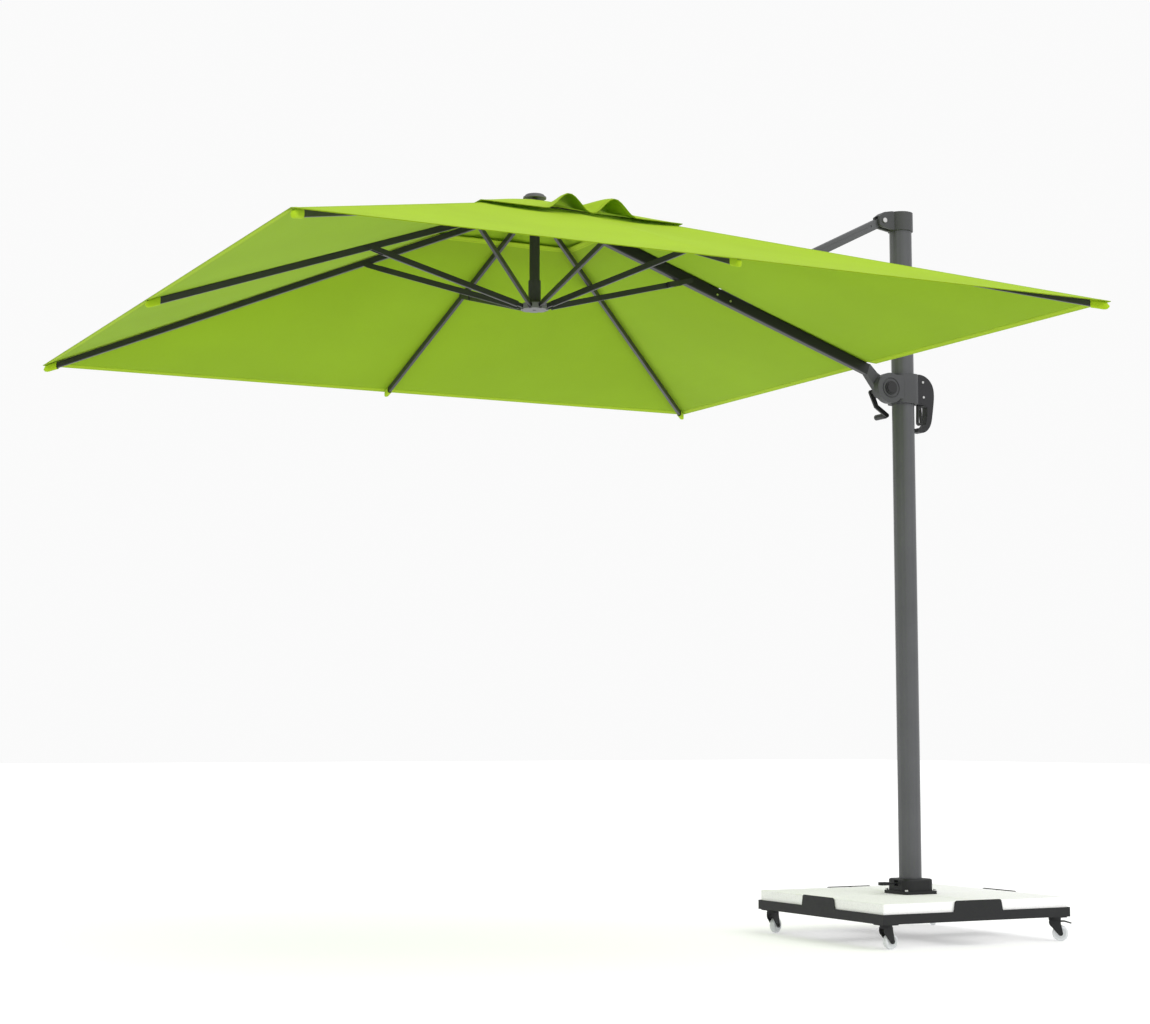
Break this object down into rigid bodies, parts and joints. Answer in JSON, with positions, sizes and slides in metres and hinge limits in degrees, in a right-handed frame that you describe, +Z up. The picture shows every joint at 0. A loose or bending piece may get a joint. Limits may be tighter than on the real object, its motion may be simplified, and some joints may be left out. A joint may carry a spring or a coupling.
{
  "type": "cantilever parasol",
  "caption": "Square cantilever parasol: side mast on a slab-weighted castor base, stay and boom carrying a folding ribbed canopy that closes and parks beside the mast.",
  "frame": {"origin": "on the floor under the mast axis", "axes": "+Z up along the mast, -X from the mast towards the canopy axis, -Y towards the near side with the pivot bolt cap"},
  "size_m": [3.6337, 2.99, 2.95],
  "materials": {
    "frame_steel": "satin",
    "mast_alu": "satin",
    "arm_alu": "satin",
    "stay_alu": "satin",
    "casting": "matte",
    "black_plastic": "matte",
    "grip_plastic": "matte",
    "hub_plastic": "matte",
    "liner_plastic": "matte",
    "hardware": "satin",
    "stone_slab": "matte",
    "wheel_plastic": "gloss",
    "canopy_fabric": "matte"
  },
  "bodies": {
    "base": {"side_rails": "frame_steel", "cross_rails": "frame_steel", "slab_near_left": "stone_slab", "slab_near_right": "stone_slab", "slab_far_left": "stone_slab", "slab_far_right": "stone_slab", "mast_foot": "casting", "turn_bush": "liner_plastic", "foot_bolts": "hardware", "castor_plates": "frame_steel"},
    "mast": {"mast_tube": "mast_alu", "mast_cap": "casting", "stay_bolt": "hardware"},
    "lock_pedal": {"lock_pedal": "black_plastic"},
    "clamp_knob": {"clamp_knob": "black_plastic"},
    "stay": {"stay": "stay_alu"},
    "boom": {"boom_tube": "arm_alu", "boom_root": "arm_alu", "boom_lug": "arm_alu", "boom_bolts": "hardware"},
    "slider": {"slider_collar": "casting", "slider_liner": "liner_plastic", "boom_pivot_bolt": "black_plastic", "grip_handle": "grip_plastic", "grip_screws": "hardware"},
    "grip_lever": {"grip_lever": "black_plastic"},
    "crank": {"crank_arm": "casting"},
    "crank_knob": {"crank_knob": "black_plastic"},
    "hub": {"top_hub": "hub_plastic", "hub_pins": "hardware", "finial": "hub_plastic", "centre_pole": "arm_alu", "canopy": "canopy_fabric", "vent_canopy": "canopy_fabric"},
    "lower_hub": {"lower_hub": "hub_plastic"},
    "rib_mast_far": {"rib_mast_far": "arm_alu"},
    "strut_mast_far": {"strut_mast_far": "arm_alu"},
    "rib_far": {"rib_far": "arm_alu"},
    "strut_far": {"strut_far": "arm_alu"},
    "rib_outer_far": {"rib_outer_far": "arm_alu"},
    "strut_outer_far": {"strut_outer_far": "arm_alu"},
    "rib_outer": {"rib_outer": "arm_alu"},
    "strut_outer": {"strut_outer": "arm_alu"},
    "rib_outer_near": {"rib_outer_near": "arm_alu"},
    "strut_outer_near": {"strut_outer_near": "arm_alu"},
    "rib_near": {"rib_near": "arm_alu"},
    "strut_near": {"strut_near": "arm_alu"},
    "rib_mast_near": {"rib_mast_near": "arm_alu"},
    "strut_mast_near": {"strut_mast_near": "arm_alu"},
    "strut_boom": {"strut_boom": "arm_alu"},
    "castor_near_left": {"castor_fork_near_left": "frame_steel"},
    "wheel_near_left": {"castor_wheel_near_left": "wheel_plastic"},
    "castor_near_right": {"castor_fork_near_right": "frame_steel"},
    "wheel_near_right": {"castor_wheel_near_right": "wheel_plastic"},
    "brake_near_right": {"brake_lever_near_right": "black_plastic"},
    "castor_far_right": {"castor_fork_far_right": "frame_steel"},
    "wheel_far_right": {"castor_wheel_far_right": "wheel_plastic"},
    "brake_far_right": {"brake_lever_far_right": "black_plastic"},
    "castor_far_left": {"castor_fork_far_left": "frame_steel"},
    "wheel_far_left": {"castor_wheel_far_left": "wheel_plastic"}
  },
  "joints": [
    {"name": "mast_turn", "type": "hinge", "parent": "base", "child": "mast", "pos_m": [0, 0, 0.172], "axis": [0, 0, 1], "continuous": true},
    {"name": "canopy_fold", "type": "hinge", "parent": "mast", "child": "stay", "pos_m": [-0.095, 0, 2.908], "axis": [0, -1, 0], "range_deg": [0, 61.1], "deforming": ["canopy", "vent_canopy"]},
    {"name": "boom_swing", "type": "hinge", "parent": "stay", "child": "boom", "pos_m": [-0.785, 0, 2.558], "axis": [0, 1, 0], "range_deg": [0, 122.22]},
    {"name": "slider_pivot", "type": "hinge", "parent": "boom", "child": "slider", "pos_m": [-0.095, 0, 2.208], "axis": [0, -1, 0], "range_deg": [0, 61.12]},
    {"name": "hub_pivot", "type": "hinge", "parent": "boom", "child": "hub", "pos_m": [-1.634, 0, 2.735], "axis": [0, -1, 0], "range_deg": [0, 61.12]},
    {"name": "crank_turn", "type": "hinge", "parent": "slider", "child": "crank", "pos_m": [-0.095, 0.09, 2.208], "axis": [0, 1, 0], "range_deg": [0, 2199.62]},
    {"name": "rib_mast_far_fold", "type": "hinge", "parent": "hub", "child": "rib_mast_far", "pos_m": [-1.64747, 0.03253, 2.79], "axis": [-0.7071, 0.7071, 0], "range_deg": [0, 61.49]},
    {"name": "strut_mast_far_swing", "type": "hinge", "parent": "rib_mast_far", "child": "strut_mast_far", "pos_m": [-1.1921, 0.4879, 2.61632], "axis": [0.7071, -0.7071, 0], "range_deg": [0, 119.76]},
    {"name": "rib_far_fold", "type": "hinge", "parent": "hub", "child": "rib_far", "pos_m": [-1.68, 0.046, 2.735], "axis": [-1, 0, 0], "range_deg": [0, 61.12]},
    {"name": "strut_far_swing", "type": "hinge", "parent": "rib_far", "child": "strut_far", "pos_m": [-1.68, 0.672, 2.571], "axis": [1, 0, 0], "range_deg": [0, 122.22]},
    {"name": "rib_outer_far_fold", "type": "hinge", "parent": "hub", "child": "rib_outer_far", "pos_m": [-1.71253, 0.03253, 2.79], "axis": [-0.7071, -0.7071, 0], "range_deg": [0, 61.49]},
    {"name": "strut_outer_far_swing", "type": "hinge", "parent": "rib_outer_far", "child": "strut_outer_far", "pos_m": [-2.1679, 0.4879, 2.61632], "axis": [0.7071, 0.7071, 0], "range_deg": [0, 119.76]},
    {"name": "rib_outer_fold", "type": "hinge", "parent": "hub", "child": "rib_outer", "pos_m": [-1.726, 0, 2.735], "axis": [0, -1, 0], "range_deg": [0, 61.12]},
    {"name": "strut_outer_swing", "type": "hinge", "parent": "rib_outer", "child": "strut_outer", "pos_m": [-2.352, 0, 2.571], "axis": [0, 1, 0], "range_deg": [0, 122.22]},
    {"name": "rib_outer_near_fold", "type": "hinge", "parent": "hub", "child": "rib_outer_near", "pos_m": [-1.71253, -0.03253, 2.79], "axis": [0.7071, -0.7071, 0], "range_deg": [0, 61.49]},
    {"name": "strut_outer_near_swing", "type": "hinge", "parent": "rib_outer_near", "child": "strut_outer_near", "pos_m": [-2.1679, -0.4879, 2.61632], "axis": [-0.7071, 0.7071, 0], "range_deg": [0, 119.76]},
    {"name": "rib_near_fold", "type": "hinge", "parent": "hub", "child": "rib_near", "pos_m": [-1.68, -0.046, 2.735], "axis": [1, 0, 0], "range_deg": [0, 61.12]},
    {"name": "strut_near_swing", "type": "hinge", "parent": "rib_near", "child": "strut_near", "pos_m": [-1.68, -0.672, 2.571], "axis": [-1, 0, 0], "range_deg": [0, 122.22]},
    {"name": "rib_mast_near_fold", "type": "hinge", "parent": "hub", "child": "rib_mast_near", "pos_m": [-1.64747, -0.03253, 2.79], "axis": [0.7071, 0.7071, 0], "range_deg": [0, 61.49]},
    {"name": "strut_mast_near_swing", "type": "hinge", "parent": "rib_mast_near", "child": "strut_mast_near", "pos_m": [-1.1921, -0.4879, 2.61632], "axis": [-0.7071, -0.7071, 0], "range_deg": [0, 119.76]},
    {"name": "strut_boom_swing", "type": "hinge", "parent": "boom", "child": "strut_boom", "pos_m": [-1.008, 0, 2.571], "axis": [0, -1, 0], "range_deg": [0, 122.22]},
    {"name": "lower_hub_pivot", "type": "hinge", "parent": "strut_boom", "child": "lower_hub", "pos_m": [-1.634, 0, 2.407], "axis": [0, 1, 0], "range_deg": [0, 61.12]},
    {"name": "crank_knob_spin", "type": "hinge", "parent": "crank", "child": "crank_knob", "pos_m": [-0.019, 0.13, 2.118], "axis": [0, 1, 0], "continuous": true},
    {"name": "grip_squeeze", "type": "hinge", "parent": "slider", "child": "grip_lever", "pos_m": [0.078, 0, 2.16], "axis": [0, -1, 0], "range_deg": [0, 7], "stiffness_Nm_per_rad": 2, "springref_deg": -2.86},
    {"name": "pedal_press", "type": "hinge", "parent": "base", "child": "lock_pedal", "pos_m": [-0.066, 0, 0.2145], "axis": [0, -1, 0], "range_deg": [0, 10], "stiffness_Nm_per_rad": 20, "springref_deg": -5.73},
    {"name": "clamp_screw", "type": "hinge", "parent": "base", "child": "clamp_knob", "pos_m": [0.08, 0, 0.206], "axis": [1, 0, 0], "continuous": true},
    {"name": "castor_near_left_swivel", "type": "hinge", "parent": "base", "child": "castor_near_left", "pos_m": [-0.4, -0.4, 0.092], "axis": [0, 0, 1], "continuous": true},
    {"name": "wheel_near_left_roll", "type": "hinge", "parent": "castor_near_left", "child": "wheel_near_left", "pos_m": [-0.38008, -0.39826, 0.031], "axis": [-0.0872, 0.9962, 0], "continuous": true},
    {"name": "castor_near_right_swivel", "type": "hinge", "parent": "base", "child": "castor_near_right", "pos_m": [0.4, -0.4, 0.092], "axis": [0, 0, 1], "continuous": true},
    {"name": "wheel_near_right_roll", "type": "hinge", "parent": "castor_near_right", "child": "wheel_near_right", "pos_m": [0.41638, -0.41147, 0.031], "axis": [0.5736, 0.8192, 0], "continuous": true},
    {"name": "brake_near_right_press", "type": "hinge", "parent": "castor_near_right", "child": "brake_near_right", "pos_m": [0.41147, -0.40803, 0.077], "axis": [0.5736, 0.8192, 0], "range_deg": [0, 12]},
    {"name": "castor_far_right_swivel", "type": "hinge", "parent": "base", "child": "castor_far_right", "pos_m": [0.4, 0.4, 0.092], "axis": [0, 0, 1], "continuous": true},
    {"name": "wheel_far_right_roll", "type": "hinge", "parent": "castor_far_right", "child": "wheel_far_right", "pos_m": [0.41, 0.41732, 0.031], "axis": [-0.866, 0.5, 0], "continuous": true},
    {"name": "brake_far_right_press", "type": "hinge", "parent": "castor_far_right", "child": "brake_far_right", "pos_m": [0.407, 0.41212, 0.077], "axis": [-0.866, 0.5, 0], "range_deg": [0, 12]},
    {"name": "castor_far_left_swivel", "type": "hinge", "parent": "base", "child": "castor_far_left", "pos_m": [-0.4, 0.4, 0.092], "axis": [0, 0, 1], "continuous": true},
    {"name": "wheel_far_left_roll", "type": "hinge", "parent": "castor_far_left", "child": "wheel_far_left", "pos_m": [-0.38187, 0.40845, 0.031], "axis": [-0.4226, 0.9063, 0], "continuous": true}
  ],
  "couplings": [
    {"joint": "boom_swing", "follows": "canopy_fold", "ratio": 2},
    {"joint": "slider_pivot", "follows": "canopy_fold", "ratio": 1},
    {"joint": "hub_pivot", "follows": "canopy_fold", "ratio": 1},
    {"joint": "crank_turn", "follows": "canopy_fold", "ratio": 36},
    {"joint": "rib_mast_far_fold", "follows": "canopy_fold", "ratio": 1.0061},
    {"joint": "strut_mast_far_swing", "follows": "canopy_fold", "ratio": 1.9597},
    {"joint": "rib_far_fold", "follows": "canopy_fold", "ratio": 1},
    {"joint": "strut_far_swing", "follows": "canopy_fold", "ratio": 2},
    {"joint": "rib_outer_far_fold", "follows": "canopy_fold", "ratio": 1.0061},
    {"joint": "strut_outer_far_swing", "follows": "canopy_fold", "ratio": 1.9597},
    {"joint": "rib_outer_fold", "follows": "canopy_fold", "ratio": 1},
    {"joint": "strut_outer_swing", "follows": "canopy_fold", "ratio": 2},
    {"joint": "rib_outer_near_fold", "follows": "canopy_fold", "ratio": 1.0061},
    {"joint": "strut_outer_near_swing", "follows": "canopy_fold", "ratio": 1.9597},
    {"joint": "rib_near_fold", "follows": "canopy_fold", "ratio": 1},
    {"joint": "strut_near_swing", "follows": "canopy_fold", "ratio": 2},
    {"joint": "rib_mast_near_fold", "follows": "canopy_fold", "ratio": 1.0061},
    {"joint": "strut_mast_near_swing", "follows": "canopy_fold", "ratio": 1.9597},
    {"joint": "strut_boom_swing", "follows": "canopy_fold", "ratio": 2},
    {"joint": "lower_hub_pivot", "follows": "canopy_fold", "ratio": 1}
  ]
}
